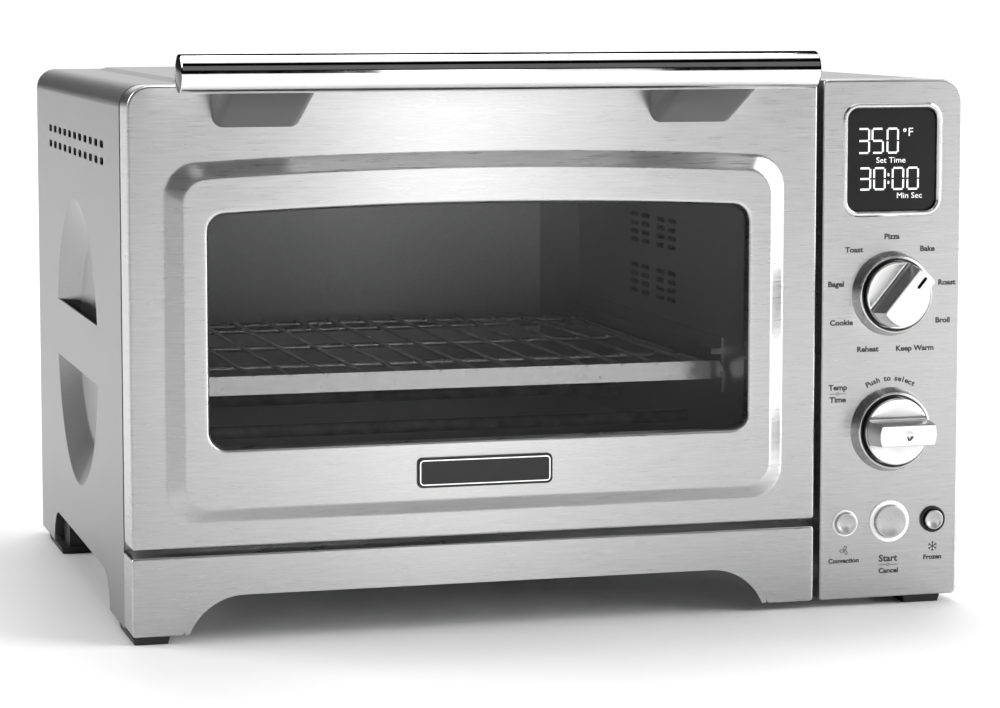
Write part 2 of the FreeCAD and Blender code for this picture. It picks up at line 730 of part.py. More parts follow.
WINDOW = ((40.5, 326.4), (100.1, 221.0), 3.9, 8.0)
NOTCH = ((12.0, 36.5), (FACE_SHEET + 0.9, 40.0), (40.0, 62.5))


def window_outline(grow, y):
    x, z, crown, radius = WINDOW
    return arched(grown(x, grow), grown(z, grow), crown, radius + grow, y)


def raised_block(inset, y_back):
    """Raised middle of the door's face, a low block with a bevel all round."""
    foot = arched(grown((18.6, 348.0), -inset), grown((61.8, 247.9), -inset), 4.9, 17.0 - inset, 0.0)
    top = arched(grown((26.6, 340.1), -inset), grown((68.7, 240.4), -inset), 4.5, 13.0 - inset, -RAISED)
    block = Part.makeLoft([foot, top], True, True)
    block.translate(V(0, y_back, 0))
    return block


def door_outer_panel():
    x = (0, DOOR_W)
    z = (DOOR_BOTTOM, BODY_TOP)
    cover = hollow_front(x, z, (2, 2, 2, TOP_RADIUS), DOOR_BACK - 1.3)
    face = cover.fuse(raised_block(0.0, 0.0))
    lip = Part.makeLoft([window_outline(1.6, -3.6), window_outline(0.2, -0.2)], True, True)
    hollow = raised_block(FACE_SHEET, FACE_SHEET)
    opening = Part.makeLoft([window_outline(0.35, -RAISED - 1), window_outline(-1.6, 0.4)], True, True)
    notch = box(*NOTCH)
    body = face.cut(hollow).fuse(lip)
    return cut(body, [opening, notch, mirrored(notch, DOOR_MID), *handle_shanks()]).removeSplitter()


def door_glass():
    return prism(arched((35.5, 331.4), (95.1, 226.0), 3.9, 6.0, GLASS_FRONT), GLASS_T)


RETAINER_Y = GLASS_FRONT + GLASS_T


def glass_retainer():
    ring = prism(arched((32.5, 334.4), (92.1, 229.0), 3.9, 6.0, RETAINER_Y), SHEET)
    return ring.cut(prism(arched((37.0, 330.0), (96.5, 224.5), 3.9, 8.0, RETAINER_Y - 1), 4))


def door_inner_panel():
    """Back sheet of the door with a funnel from its opening to the glass."""
    y = DOOR_BACK - SHEET
    sheet_x = (FACE_SHEET, DOOR_W - FACE_SHEET)
    sheet_z = (DOOR_BOTTOM + FACE_SHEET, BODY_TOP - FACE_SHEET)
    sheet = prism(outline(sheet_x, sheet_z, (1, 1, 1, TOP_RADIUS - FACE_SHEET), y), SHEET)
    funnel_y = RETAINER_Y + SHEET
    funnel = prism(arched((35.2, 331.7), (94.7, 226.3), 3.9, 9.0, funnel_y), y - funnel_y)
    hollow = prism(arched((36.0, 330.9), (95.5, 225.5), 3.9, 8.2, funnel_y - 1), 40)
    notch = box(*NOTCH)
    whole = fuse([sheet, funnel])
    return cut(whole, [hollow, notch, mirrored(notch, DOOR_MID), *door_shanks()])


def badge_plate():
    plate = prism(outline((147.2, 219.7), (75.3, 91.1), (3, 3, 3, 3), -RAISED - 1.4), 1.4)
    front = [e for e in plate.Edges if max(v.Y for v in e.Vertexes) < -RAISED - 1.3]
    return plate.makeFillet(0.5, front)


def handle_bar():
    wall = 1.5
    tube = along_x(HANDLE_X, HANDLE_Y, HANDLE_Z, HANDLE_R)
    return tube.cut(along_x(HANDLE_X, HANDLE_Y, HANDLE_Z, HANDLE_R - wall))


def handle_end_caps():
    """Slightly domed caps pressed into the ends of the tube."""
    caps = []
    for x, out in ((HANDLE_X[0], -1), (HANDLE_X[1], 1)):
        plug = along_x(sorted((x, x - out * 8)), HANDLE_Y, HANDLE_Z, HANDLE_R - 1.5)
        dome_r = 60.0
        ball = Part.makeSphere(dome_r, V(x - out * (dome_r - 1.2), HANDLE_Y, HANDLE_Z))
        dome = ball.common(along_x(sorted((x, x + out * 2)), HANDLE_Y, HANDLE_Z, HANDLE_R))
        caps.append(fuse([plug, dome]))
    return caps


def handle_brackets():
    """Two brackets that carry the tube off the door's face; each underside slopes up to the tube."""
    top = 291.0
    tube = along_x((0, DOOR_W), HANDLE_Y, HANDLE_Z, HANDLE_R)
    rear_top = box((0, DOOR_W), (-30.0, 5.0), (280.0, 300.0))
    brackets = []
    for x in BRACKETS:
        back = outline(x, (261.8, top), (6.0, 6.0, 0.5, 0.5), 0.0)
        front = outline(x, (282.5, top), (4.0, 4.0, 0.5, 0.5), HANDLE_Y)
        block = Part.makeLoft([back, front], True, True)
        brackets.append(cut(block, [tube, rear_top, *handle_shanks()]))
    return brackets


def handle_shanks():
    shanks = [along_y(x, (-9.0, FACE_SHEET), 272.0, 1.9) for x in (58.0, 78.5)]
    return shanks + [mirrored(s, DOOR_MID) for s in shanks]


def handle_screws():
    """Machine screws from inside the door, through its face, into the brackets."""
    screws = []
    for shank in handle_shanks():
        middle = shank.BoundBox.Center
        head = along_y(middle.x, (FACE_SHEET, FACE_SHEET + 2.4), middle.z, 3.8)
        screws.append(fuse([shank, head]))
    return screws


def both_hands(solid):
    return [solid, mirrored(solid, DOOR_MID)]


def hinge_pin():
    return along_x((8.6, 38.4), HINGE_Y, HINGE_Z, PIN_R)


def hinge_ear():
    """Bracket inside the door whose two ears hold the hinge pin at both ends."""
    x = (9.0, 38.0)
    back = box(x, (DOOR_BACK - 3.0, DOOR_BACK - SHEET), (63.5, 88.0))
    ears = []
    for ear_x in ((x[0], x[0] + 1.8), (x[1] - 1.8, x[1])):
        arm = box(ear_x, (HINGE_Y - 4, DOOR_BACK - SHEET), (63.5, 78.0))
        drop = box(ear_x, (HINGE_Y - 4, HINGE_Y + 4), (HINGE_Z, 66.0))
        ears.append(fuse([arm, drop, along_x(ear_x, HINGE_Y, HINGE_Z, 4.0)]))
    return fuse([back, *ears]).cut(along_x(grown(x, 1), HINGE_Y, HINGE_Z, PIN_R))


def hinge_bracket():
    """Arm fixed to the front frame; the hinge pin turns in the bore at its end."""
    x = (13.5, 16.5)
    arm = box(x, (HINGE_Y, 26.9), (HINGE_Z - 4.6, HINGE_Z + 4.6))
    eye = along_x(x, HINGE_Y, HINGE_Z, 4.6)
    foot = box((13.5, 22.0), (25.7, 26.9), (HINGE_Z - 10, HINGE_Z + 5.5))
    bore = along_x(grown(x, 1), HINGE_Y, HINGE_Z, PIN_R + PIN_CLEARANCE)
    return fuse([arm, eye, foot]).cut(bore)


def door_spring():
    """Torsion spring coiled round the hinge pin, its free leg against the front frame."""
    coil_r = 3.9
    wire_r = 0.6
    pitch = 1.6
    turns = 6
    helix = Part.makeHelix(pitch, pitch * turns, coil_r)
    start = V(coil_r, 0, 0)
    section = Part.Wire(Part.makeCircle(wire_r, start, V(0, 1, 0)))
    coil = Part.Wire(helix).makePipeShell([section], True, True)
    leg = rod(V(coil_r, 0.0, 0), V(0, -1, 0), wire_r, 16.0)
    spring = coil.fuse(leg)
    spring.rotate(V(0, 0, 0), V(0, 1, 0), 90)
    spring.rotate(V(0, 0, 0), V(1, 0, 0), 180)
    spring.translate(V(21.5, HINGE_Y, HINGE_Z))
    return spring


def stay_arm():
    """Quadrant arm centred on the hinge: it slides through the front frame as the door drops."""
    x = (24.0, 25.8)
    top = math.radians(72.0)
    tail = math.radians(-20.5)

    def sector(inner, outer, start, end):
        def at(radius, angle):
            return V(x[0], HINGE_Y + radius * math.cos(angle), HINGE_Z + radius * math.sin(angle))

        mid = (start + end) / 2
        edges = [
            Part.Arc(at(outer, start), at(outer, mid), at(outer, end)).toShape(),
            Part.makeLine(at(outer, end), at(inner, end)),
            Part.Arc(at(inner, end), at(inner, mid), at(inner, start)).toShape(),
            Part.makeLine(at(inner, start), at(outer, start)),
        ]
        return Part.Face(wire_of(edges)).extrude(V(x[1] - x[0], 0, 0))

    arm = sector(STAY_R - 4, STAY_R + 4, top, tail)
    stop = sector(STAY_R - 8, STAY_R + 8, tail, tail - math.radians(5))
    anchor = box((x[0] - 3, x[1]), (DOOR_BACK, DOOR_BACK + 1.2), (HINGE_Z + 48, HINGE_Z + 70))
    behind_door = arm.common(box(x, (DOOR_BACK, 200), (0, 200)))
    return fuse([behind_door, stop, anchor])


def door_shanks():
    """Shanks of the screws that hold the inner panel, along both sides and the top."""
    places = [(x, z) for x in (18.0, DOOR_W - 18.0) for z in (100.0, 180.0, 262.0)]
    places += [(x, 262.0) for x in (120.0, 247.3)]
    return [along_y(x, (DOOR_BACK - 9.0, DOOR_BACK), z, 1.4) for x, z in places]


def door_screws():
    screws = []
    for shank in door_shanks():
        middle = shank.BoundBox.Center
        head = along_y(middle.x, (DOOR_BACK, DOOR_BACK + 1.4), middle.z, 3.2)
        screws.append(fuse([head, shank]))
    return screws


# Fasteners of the casing -----------------------------------------------------------------------


def rear_screws():
    """Pan-head screws through the rear panel into the casing's flange."""
    screws = []
    for x, z in REAR_SCREWS:
        shank = along_y(x, (REAR_FACE - 7, REAR_FACE), z, SCREW_R)
        head = along_y(x, (REAR_FACE, BODY_D - 0.1), z, 3.4)
        screws.append(fuse([shank, head]))
    return screws


# Writing the nodes -----------------------------------------------------------------------------

save("outer_shell", outer_shell())
save("base_plate", base_plate())
save("rear_panel", rear_panel())
save("cord_inlet", cord_inlet())
save("front_frame", front_frame())
save("front_skirt", front_skirt())
save("control_panel", control_panel())
save("feet", feet())
save("rear_screws", rear_screws())

cavity_walls()
save("cavity_back_wall", cavity_back_wall())
save("rack_guides", rack_guides())
save("lower_heaters", heaters(0))
save("upper_heaters", heaters(1))
save("heater_insulators", heater_insulators())
save("temperature_probe", temperature_probe())
save("wire_rack", wire_rack())
save("crumb_tray", crumb_tray())

save("heat_shield", heat_shield())
save("fan_housing", fan_housing())
save("fan_wheel", wheel((338.5, 350.0), FAN_R, 7.0, 16, 1.0, 20))
save("cooling_fan", wheel((391.5, 401.0), 34.0, 7.0, 8, 0.8, 25))
save("motor_shaft", motor_shaft())
save("fan_motor", fan_motor())
save("motor_mount", motor_mount())
save("power_board", power_board())
save("control_board", control_board())
save("display_bezel", display_bezel())
save("display_lens", display_lens())
save("display_module", display_module())
save("knob_collars", [collar(FUNCTION_Z), collar(ADJUST_Z)])
save("encoders", [encoder(FUNCTION_Z, False), encoder(ADJUST_Z, True)])
save("function_knob", knob(FUNCTION_Z, 40, 0.0))
save("function_shaft", along_y(CONTROL_X, (-14.0, 13.5), FUNCTION_Z, SHAFT_R))
save("adjust_knob", knob(ADJUST_Z, 90, 3.0))
save("adjust_shaft", along_y(CONTROL_X, (-14.0, 15.0), ADJUST_Z, SHAFT_R))
save("adjust_thrust_plate", along_y(CONTROL_X, (15.3, 16.8), ADJUST_Z, 4.4))
save("button_rings", button_rings())
save("button_board", button_board())
for name, x, radius, _ in BUTTONS:
    save(name, button(x, radius))

save("door_outer_panel", door_outer_panel())
save("door_glass", door_glass())
save("glass_retainer", glass_retainer())
save("door_inner_panel", door_inner_panel())
save("badge_plate", badge_plate())
save("handle_bar", handle_bar())
save("handle_end_caps", handle_end_caps())
save("handle_brackets", handle_brackets())
save("handle_screws", handle_screws())
save("hinge_pins", both_hands(hinge_pin()))
save("hinge_ears", both_hands(hinge_ear()))
save("hinge_brackets", both_hands(hinge_bracket()))
save("door_springs", both_hands(door_spring()))
save("stay_arms", both_hands(stay_arm()))
save("door_screws", door_screws())
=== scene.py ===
"""Looks of a countertop toaster oven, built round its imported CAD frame: metres, x right, y back, z up.

Sizes are millimetres in the drawing's axes: x from the casing's left side, y back from the front
faces and z up from the table. at() and span() turn them into the frame's metres and back.
"""

import json
import math

import bmesh
import bpy
from mathutils import Matrix, Vector

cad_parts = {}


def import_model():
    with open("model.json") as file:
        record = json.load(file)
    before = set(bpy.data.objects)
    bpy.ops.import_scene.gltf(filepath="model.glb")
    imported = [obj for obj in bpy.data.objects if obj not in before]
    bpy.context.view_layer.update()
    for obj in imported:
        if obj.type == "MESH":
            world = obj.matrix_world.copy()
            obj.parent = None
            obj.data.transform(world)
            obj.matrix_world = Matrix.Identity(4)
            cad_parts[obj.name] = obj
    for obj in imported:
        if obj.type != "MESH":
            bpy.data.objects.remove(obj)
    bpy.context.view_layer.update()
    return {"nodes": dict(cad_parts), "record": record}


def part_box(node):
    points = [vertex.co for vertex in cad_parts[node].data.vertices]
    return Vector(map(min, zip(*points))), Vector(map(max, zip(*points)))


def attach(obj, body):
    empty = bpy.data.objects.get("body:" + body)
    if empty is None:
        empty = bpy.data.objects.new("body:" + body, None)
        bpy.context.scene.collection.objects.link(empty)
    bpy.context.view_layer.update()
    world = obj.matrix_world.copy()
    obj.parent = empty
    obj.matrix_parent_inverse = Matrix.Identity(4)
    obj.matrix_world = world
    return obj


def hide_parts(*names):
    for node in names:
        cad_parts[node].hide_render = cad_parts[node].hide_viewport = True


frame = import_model()

MM = 0.001
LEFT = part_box("outer_shell")[0].x
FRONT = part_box("control_panel")[0].y

CORNER_STEPS = 10
SIDE_STEPS = 14
ROUND_STEPS = 128
SHEET = 1.2
PRINT_DEPTH = 0.05


# Places and outlines --------------------------------------------------------------------------


def at(x, y, z):
    """Frame point from drawing millimetres."""
    return Vector((LEFT + x * MM, FRONT + y * MM, z * MM))


def span(node):
    """Drawing millimetres that a CAD node fills: (low, high) in x, y and z."""
    low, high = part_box(node)
    return (
        ((low.x - LEFT) / MM, (high.x - LEFT) / MM),
        ((low.y - FRONT) / MM, (high.y - FRONT) / MM),
        (low.z / MM, high.z / MM),
    )


def middle(pair):
    return (pair[0] + pair[1]) / 2


def grown(pair, by):
    return (pair[0] - by, pair[1] + by)


def mix(a, b, share):
    """Two lists of points blended, share 0 for a and 1 for b."""
    return [tuple(p + (q - p) * share for p, q in zip(one, other)) for one, other in zip(a, b)]


def arc(centre, radius, start, end, steps=CORNER_STEPS):
    angles = [math.radians(start + (end - start) * k / steps) for k in range(steps + 1)]
    return [(centre[0] + radius * math.cos(a), centre[1] + radius * math.sin(a)) for a in angles]


def between(a, b):
    """Points inside a straight side, without its ends."""
    return [mix([a], [b], k / SIDE_STEPS)[0] for k in range(1, SIDE_STEPS)]


def outline(x, z, radii, crown=0.0):
    """Rounded rectangle in (x, z), anticlockwise from its bottom left corner.

    The radii run bottom left, bottom right, top right, top left. A crown makes the top edge a
    shallow arc that rises by that much at its middle.
    """
    corners_z = [z[0] + radii[0], z[0] + radii[1], z[1] - radii[2], z[1] - radii[3]]
    lean = 90.0
    if crown:
        half = (x[1] - x[0]) / 2
        big = (half**2 + crown**2) / (2 * crown)
        rise = math.sqrt((big - radii[2]) ** 2 - (half - radii[2]) ** 2)
        corners_z[2:] = [z[1] - big + rise] * 2
        lean = math.degrees(math.atan2(rise, half - radii[2]))
    corners = [
        arc((x[0] + radii[0], corners_z[0]), radii[0], 180, 270),
        arc((x[1] - radii[1], corners_z[1]), radii[1], 270, 360),
        arc((x[1] - radii[2], corners_z[2]), radii[2], 0, lean),
        arc((x[0] + radii[3], corners_z[3]), radii[3], 180 - lean, 180),
    ]
    points = []
    for index, corner in enumerate(corners):
        following = corners[(index + 1) % 4]
        side = between(corner[-1], following[0])
        if crown and index == 2:
            side = arc((middle(x), z[1] - big), big, lean, 180 - lean, SIDE_STEPS)[1:-1]
        points += corner + side
    return points


def ring(points, y):
    return [at(x, y, z) for x, z in points]


def soft(points, radius, steps=4):
    """Polyline with each inner corner rounded off."""
    rounded = [points[0]]
    for before, corner, after in zip(points, points[1:], points[2:]):
        ends = []
        for other in (before, after):
            length = math.dist(corner, other)
            ends.append(mix([corner], [other], min(radius / length, 0.5))[0])
        for k in range(steps + 1):
            t = k / steps
            near = mix([ends[0]], [corner], t)
            far = mix([corner], [ends[1]], t)
            rounded.append(mix(near, far, t)[0])
    return rounded + [points[-1]]


# Meshes -----------------------------------------------------------------------------------------


def loft(rings, closed=False):
    """Mesh through rings of equal length, capped at both ends unless the rings close on themselves."""
    made = bmesh.new()
    rows = [[made.verts.new(point) for point in one] for one in rings]
    pairs = list(zip(rows, rows[1:] + rows[:1] if closed else rows[1:]))
    for row, after in pairs:
        count = len(row)
        for k in range(count):
            made.faces.new((row[k], row[(k + 1) % count], after[(k + 1) % count], after[k]))
    if not closed:
        made.faces.new(rows[0][::-1])
        made.faces.new(rows[-1])
    return finished(made)


def finished(made, weld=1e-7):
    bmesh.ops.remove_doubles(made, verts=made.verts, dist=weld)
    bmesh.ops.dissolve_degenerate(made, edges=made.edges, dist=weld)
    bmesh.ops.recalc_face_normals(made, faces=made.faces)
    mesh = bpy.data.meshes.new("shape")
    made.to_mesh(mesh)
    made.free()
    return mesh


def lathe_y(profile, x, z, steps=ROUND_STEPS, closed=False):
    """Turned about the line along y through x and z; the profile is (radius, y) points."""
    rings = [[at(x + px, y, z + pz) for px, pz in arc((0, 0), max(r, 0.001), 0, 360, steps)[:-1]]
             for r, y in profile]
    return loft(rings, closed)


def lathe_x(profile, y, z, steps=ROUND_STEPS, closed=False):
    """Turned about the line along x through y and z; the profile is (radius, x) points."""
    rings = [[at(x, y + py, z + pz) for py, pz in arc((0, 0), max(r, 0.001), 0, 360, steps)[:-1]]
             for r, x in profile]
    return loft(rings, closed)


def slab(points, y, edge=0.0):
    """Flat plate from an outline, y = (front, back), with its front edge rounded by that radius."""
    mid = (sum(p[0] for p in points) / len(points), sum(p[1] for p in points) / len(points))
    size = max(math.dist(p, mid) for p in points)
    rings = []
    for angle in (0, 30, 60, 90) if edge else (0,):
        turn = math.radians(angle)
        inset = edge * (1 - math.sin(turn)) / size
        rings.append(ring(mix(points, [mid] * len(points), inset), y[0] + edge * (1 - math.cos(turn))))
    rings.append(ring(points, y[1]))
    return loft(rings)


def joined(meshes):
    made = bmesh.new()
    for mesh in meshes:
        made.from_mesh(mesh)
    mesh = bpy.data.meshes.new("shape")
    made.to_mesh(mesh)
    made.free()
    return mesh


def combined(mesh, tools, operation):
    """The mesh with the tools cut from it or joined to it, as one solid."""
    body = bpy.data.objects.new("body", mesh)
    bpy.context.collection.objects.link(body)
    helpers = []
    for tool in tools:
        helper = bpy.data.objects.new("tool", tool)
        bpy.context.collection.objects.link(helper)
        helpers.append(helper)
        step = body.modifiers.new("step", "BOOLEAN")
        step.operation = operation
        step.solver = "EXACT"
        step.object = helper
    bpy.context.view_layer.update()
    graph = bpy.context.evaluated_depsgraph_get()
    made = bpy.data.meshes.new_from_object(body.evaluated_get(graph))
    for used in [body, *helpers]:
        bpy.data.objects.remove(used)
    return made


def piece(name, mesh, body, finish, nodes=(), sharp=32.0, bevel=0.0):
    """A shown piece: smooth shading, its material, the body it rides on and what it stands for."""
    made = bpy.data.objects.new(name, mesh)
    bpy.context.collection.objects.link(made)
    mesh.name = name
    mesh.materials.clear()
    mesh.materials.append(finish)
    mesh.shade_smooth()
    if bevel:
        rounding = made.modifiers.new("edges", "BEVEL")
        rounding.width = bevel * MM
        rounding.segments = 3
        rounding.limit_method = "ANGLE"
        rounding.angle_limit = math.radians(sharp)
        rounding.harden_normals = True
    else:
        mesh.set_sharp_from_angle(angle=math.radians(sharp))
        weighted = made.modifiers.new("normals", "WEIGHTED_NORMAL")
        weighted.keep_sharp = True
    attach(made, body)
    if nodes:
        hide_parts(*nodes)
    return made


# Materials --------------------------------------------------------------------------------------


def grey(value):
    return (value, value, value, 1.0)


def pattern(tree, layers):
    """One 0 to 1 value from noises; a layer is (cycles per metre in x, y and z, detail, share)."""
    place = tree.nodes.new("ShaderNodeTexCoord")
    total = None
    for cycles, detail, share in layers:
        stretch = tree.nodes.new("ShaderNodeMapping")
        stretch.inputs["Scale"].default_value = cycles
        noise = tree.nodes.new("ShaderNodeTexNoise")
        noise.inputs["Scale"].default_value = 1.0
        noise.inputs["Detail"].default_value = detail
        scaled = tree.nodes.new("ShaderNodeMath")
        scaled.operation = "MULTIPLY_ADD"
        scaled.inputs[1].default_value = share
        scaled.inputs[2].default_value = 0.0
        tree.links.new(place.outputs["Object"], stretch.inputs["Vector"])
        tree.links.new(stretch.outputs["Vector"], noise.inputs["Vector"])
        tree.links.new(noise.outputs["Fac"], scaled.inputs[0])
        if total:
            tree.links.new(total, scaled.inputs[2])
        total = scaled.outputs[0]
    return total


def ranged(tree, value, low, high):
    """The pattern's usual range, 0.3 to 0.7, stretched to low and high."""
    span_node = tree.nodes.new("ShaderNodeMapRange")
    span_node.inputs["From Min"].default_value = 0.3
    span_node.inputs["From Max"].default_value = 0.7
    span_node.inputs["To Min"].default_value = low
    span_node.inputs["To Max"].default_value = high
    tree.links.new(value, span_node.inputs["Value"])
    return span_node.outputs["Result"]


def surface(name, dark, light, rough, layers, bump=0.0, tangent=None, **fixed):
    """Material whose colour, roughness and height follow one noise pattern; fixed sockets keep a constant."""
    made = bpy.data.materials.new(name)
    made.use_nodes = True
    tree = made.node_tree
    shader = tree.nodes["Principled BSDF"]
    for socket, value in fixed.items():
        shader.inputs[socket.replace("_", " ")].default_value = value
    value = pattern(tree, layers)
    colour = tree.nodes.new("ShaderNodeMix")
    colour.data_type = "RGBA"
    colour.inputs["A"].default_value = dark if isinstance(dark, tuple) else grey(dark)
    colour.inputs["B"].default_value = light if isinstance(light, tuple) else grey(light)
    tree.links.new(ranged(tree, value, 0.0, 1.0), colour.inputs["Factor"])
    tree.links.new(colour.outputs["Result"], shader.inputs["Base Color"])
    tree.links.new(ranged(tree, value, *rough), shader.inputs["Roughness"])
    if bump:
        height = tree.nodes.new("ShaderNodeBump")
        height.inputs["Distance"].default_value = bump * MM
        height.inputs["Strength"].default_value = 1.0
        tree.links.new(value, height.inputs["Height"])
        tree.links.new(height.outputs["Normal"], shader.inputs["Normal"])
    if tangent:
        direction = tree.nodes.new("ShaderNodeTangent")
        direction.direction_type = "RADIAL"
        direction.axis = tangent
        tree.links.new(direction.outputs["Tangent"], shader.inputs["Tangent"])
    return made


def speckle(cycles, detail=4.0):
    """Even noise, the same in every direction."""
    return [((cycles,) * 3, detail, 1.0)]


BRUSHED_X = [((55, 55, 1400), 3.0, 0.85), ((14, 14, 420), 2.0, 0.15)]
BRUSHED_Y = [((900, 12, 900), 2.0, 0.5), ((8, 4, 8), 2.0, 0.5)]

front_steel = surface("front_steel", 0.47, 0.56, (0.26, 0.33), BRUSHED_X, 0.0025, "Z",
                      Metallic=1.0, Anisotropic=0.8, Anisotropic_Rotation=0.25)
# The casing's stainless is front_steel's metal with a darker base colour: painted shade for its sides and
# top.
shaded_shell_steel = surface("shaded_shell_steel", 0.27, 0.31, (0.33, 0.38), BRUSHED_Y, Metallic=1.0)
chrome = surface("bright_chrome", 0.82, 0.88, (0.04, 0.09), speckle(60), Metallic=1.0)
knob_metal = surface("knob_metal", 0.66, 0.72, (0.19, 0.23), speckle(90), Metallic=1.0)
key_metal = surface("key_metal", 0.42, 0.48, (0.26, 0.31), speckle(120), Metallic=1.0)
collar_metal = surface("collar_metal", 0.50, 0.58, (0.22, 0.28), speckle(300), 0.002, Metallic=1.0)
bezel_chrome = surface("bezel_chrome", 0.60, 0.68, (0.19, 0.24), speckle(80), Metallic=1.0)
zinc = surface("zinc_steel", 0.50, 0.62, (0.34, 0.48), speckle(45, 6.0), 0.01, Metallic=0.9)
enamel = surface("cavity_steel", 0.52, 0.62, (0.34, 0.46), speckle(900, 3.0), 0.01, Metallic=0.8)
rack_metal = surface("rack_chrome", 0.62, 0.74, (0.18, 0.28), speckle(240), 0.004, Metallic=1.0)
bracket_grey = surface("bracket_grey", 0.10, 0.13, (0.30, 0.38), speckle(1500, 2.0), 0.01, Metallic=0.6)
glass = surface("tinted_glass", 0.010, 0.014, (0.30, 0.36), speckle(20), Alpha=0.24, IOR=1.5,
                Specular_IOR_Level=0.3)
display_glass = surface("display_glass", 0.010, 0.014, (0.10, 0.14), speckle(30), IOR=1.5,
                        Specular_IOR_Level=0.2)
black_plastic = surface("black_plastic", 0.012, 0.020, (0.38, 0.52), speckle(1800, 2.0), 0.01)
ring_plastic = surface("light_ring_plastic", 0.80, 0.86, (0.28, 0.36), speckle(200, 2.0), 0.002,
                       Emission_Strength=0.3, Emission_Color=grey(1.0))
board_green = surface("circuit_board", (0.02, 0.10, 0.04, 1), (0.03, 0.16, 0.06, 1), (0.4, 0.55),
                      speckle(700), 0.01)
ceramic = surface("ceramic_white", 0.72, 0.80, (0.35, 0.5), speckle(500), 0.01)
heater_sheath = surface("heater_sheath", 0.10, 0.22, (0.40, 0.58), speckle(160, 5.0), 0.02, Metallic=0.7)
rubber = surface("rubber", 0.006, 0.012, (0.5, 0.65), speckle(1200, 3.0), 0.03)
badge_black = surface("badge_black", 0.008, 0.014, (0.16, 0.22), speckle(60), Specular_IOR_Level=0.3)
cap_black = surface("cap_black", 0.010, 0.016, (0.10, 0.16), speckle(120))
fastener = surface("fastener_steel", 0.48, 0.60, (0.25, 0.38), speckle(400), 0.01, Metallic=1.0)
ink = surface("label_ink", 0.012, 0.022, (0.45, 0.55), speckle(2500, 2.0))
lit = surface("display_light", 0.75, 0.85, (0.4, 0.5), speckle(900, 2.0), Emission_Strength=0.55,
              Emission_Color=grey(1.0))
silver_line = surface("badge_silver", 0.75, 0.82, (0.18, 0.26), speckle(500), Metallic=1.0)

BY_SLOT = {
    "brushed_stainless": front_steel, "zinc_steel": zinc, "cavity_enamel": enamel, "chrome": chrome,
    "bracket_grey": bracket_grey, "tinted_glass": glass, "display_glass": display_glass,
    "bezel_chrome": bezel_chrome, "black_plastic": black_plastic, "light_ring_plastic": ring_plastic,
    "circuit_board": board_green, "ceramic_white": ceramic, "heater_sheath": heater_sheath,
    "rubber": rubber, "badge_black": badge_black, "fastener_steel": fastener,
}
# The casing takes the darker steel, whose base colour is painted shade.
BY_NODE = {"outer_shell": shaded_shell_steel, "wire_rack": rack_metal}


def finish_cad_nodes():
    """Every CAD node takes the material of its slot, or its own."""
    for row in frame["record"]["subparts"]:
        node = frame["nodes"][row["node"]]
        node.data.materials.clear()
        node.data.materials.append(BY_NODE.get(row["node"], BY_SLOT[row["material_slot"]]))


# Door -------------------------------------------------------------------------------------------

EDGE_R = 1.4
RAISED = 4.5
FOOT = ((18.6, 348.0), (61.8, 247.9), 4.9, 17.0)
CROWN = ((26.6, 340.1), (68.7, 240.4), 4.5, 13.0)
WINDOW = ((40.5, 326.4), (100.1, 221.0), 3.9, 8.0)
NOTCH = ((12.0, 36.5), (2.1, 40.0), (40.0, 62.5))
BRACKET_W = 45.8


def arched(shape, by):
    """Outline of a crowned shape, grown all round."""
    x, z, crown, radius = shape
    return outline(grown(x, by), grown(z, by), (radius + by,) * 4, crown)


def box_mesh(x, y, z):
    corners = [(x[0], z[0]), (x[1], z[0]), (x[1], z[1]), (x[0], z[1])]
    return loft([ring(corners, y[0]), ring(corners, y[1])])


def door_face():
    """Pressed door front: rounded edge, raised field with a soft bevel, and the window's turned-in lip."""
    x, y, z = span("door_outer_panel")
    corners = (2.0, 2.0, 2.0, 11.5)
    edge = outline(x, z, corners)
    rings = [ring(edge, y[1])]
    for angle in (0, 22.5, 45, 67.5, 90):
        turn = math.radians(angle)
        inset = EDGE_R * (1 - math.cos(turn))
        shape = outline(grown(x, -inset), grown(z, -inset), [max(r - inset, 0.2) for r in corners])
        rings.append(ring(shape, EDGE_R * (1 - math.sin(turn))))
    foot = arched(FOOT, 0.0)
    crown = arched(CROWN, 0.0)
    bevel = soft([(-0.18, 0.0), (0.0, 0.0), (1.0, 1.0), (1.18, 1.0)], 0.24, 5)
    for share, rise in bevel:
        rings.append(ring(mix(foot, crown, share), -RAISED * rise))
    lip = soft([(4.0, -RAISED), (1.5, -RAISED), (0.2, -0.2)], 1.1, 4)
    for grow, depth in lip:
        rings.append(ring(arched(WINDOW, grow), depth))
    rings.append(ring(arched(WINDOW, SHEET), -0.2))
    rings.append(ring(arched(WINDOW, 1.5 + SHEET), SHEET - RAISED))
    rings.append(ring(mix(foot, crown, 1.1), SHEET - RAISED))
    rings.append(ring(mix(foot, crown, 0.1), SHEET))
    inside = outline(grown(x, -SHEET), grown(z, -SHEET), [max(r - SHEET, 0.3) for r in corners])
    rings.append(ring(inside, SHEET))
    rings.append(ring(inside, y[1]))
    mirrored_x = (x[1] - NOTCH[0][1], x[1] - NOTCH[0][0])
    notches = [box_mesh(*NOTCH), box_mesh(mirrored_x, *NOTCH[1:])]
    mesh = combined(loft(rings, closed=True), notches, "DIFFERENCE")
    piece("door_face", mesh, "door", front_steel, ["door_outer_panel"], 40)


